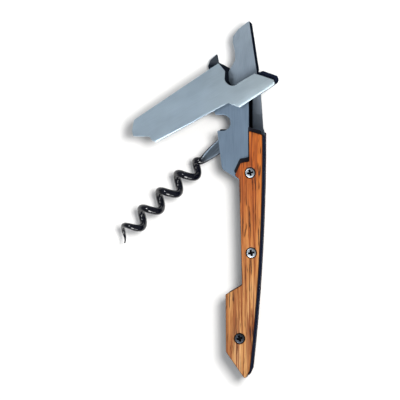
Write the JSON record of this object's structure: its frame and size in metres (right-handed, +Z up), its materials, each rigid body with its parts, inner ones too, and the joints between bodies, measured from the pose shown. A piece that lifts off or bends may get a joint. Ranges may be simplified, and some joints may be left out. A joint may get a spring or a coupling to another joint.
{
  "type": "waiters corkscrew",
  "caption": "Folding waiter's corkscrew with wooden grip scales, a two-cheek lever, a short foil blade and a black coiled worm.",
  "frame": {"origin": "on the back scale's flat outer face, between the first two screws", "axes": "+Y along the handle towards the head, +Z up through the layers from the back scale to the front one, +X towards the handle's back"},
  "size_m": [0.0662, 0.1486, 0.0182],
  "materials": {
    "wood": "oiled open-pored wood",
    "cheek_steel": "light satin",
    "plate_steel": "brushed, blue-grey",
    "dark_steel": "blued, near black",
    "screw_steel": "bright",
    "black_wire": "glossy black coating"
  },
  "bodies": {
    "handle": {"back_scale": "wood", "front_scale": "wood", "back_liner": "plate_steel", "front_liner": "plate_steel", "back_spring": "dark_steel", "butt_spacer": "dark_steel", "front_screw_1": "screw_steel", "front_screw_2": "screw_steel", "front_screw_3": "screw_steel", "back_screw_1": "screw_steel", "back_screw_2": "screw_steel", "back_screw_3": "screw_steel", "barrel_nut_1": "screw_steel", "barrel_nut_2": "screw_steel", "barrel_nut_3": "screw_steel", "lever_axle": "screw_steel", "worm_pin": "screw_steel", "front_lever_washer": "screw_steel", "back_lever_washer": "screw_steel", "blade_collar": "screw_steel", "blade_washer": "screw_steel", "back_worm_collar": "screw_steel", "front_worm_collar": "screw_steel"},
    "lever": {"front_cheek": "cheek_steel", "back_cheek": "plate_steel", "heel_block": "dark_steel", "heel_rivet_1": "screw_steel", "heel_rivet_2": "screw_steel"},
    "blade": {"foil_blade": "plate_steel"},
    "worm_body": {"worm": "black_wire"}
  },
  "joints": [
    {"name": "lever_fold", "type": "hinge", "parent": "handle", "child": "lever", "pos_m": [-0.0029, 0.0525, 0.0091], "axis": [0, 0, 1], "range_deg": [-55, 52]},
    {"name": "blade_fold", "type": "hinge", "parent": "lever", "child": "blade", "pos_m": [-0.0029, 0.0525, 0.0091], "axis": [0, 0, 1], "range_deg": [0, 98]},
    {"name": "worm_fold", "type": "hinge", "parent": "handle", "child": "worm_body", "pos_m": [-0.0042, 0.0375, 0.0091], "axis": [0, 0, 1], "range_deg": [-40, 45]}
  ]
}
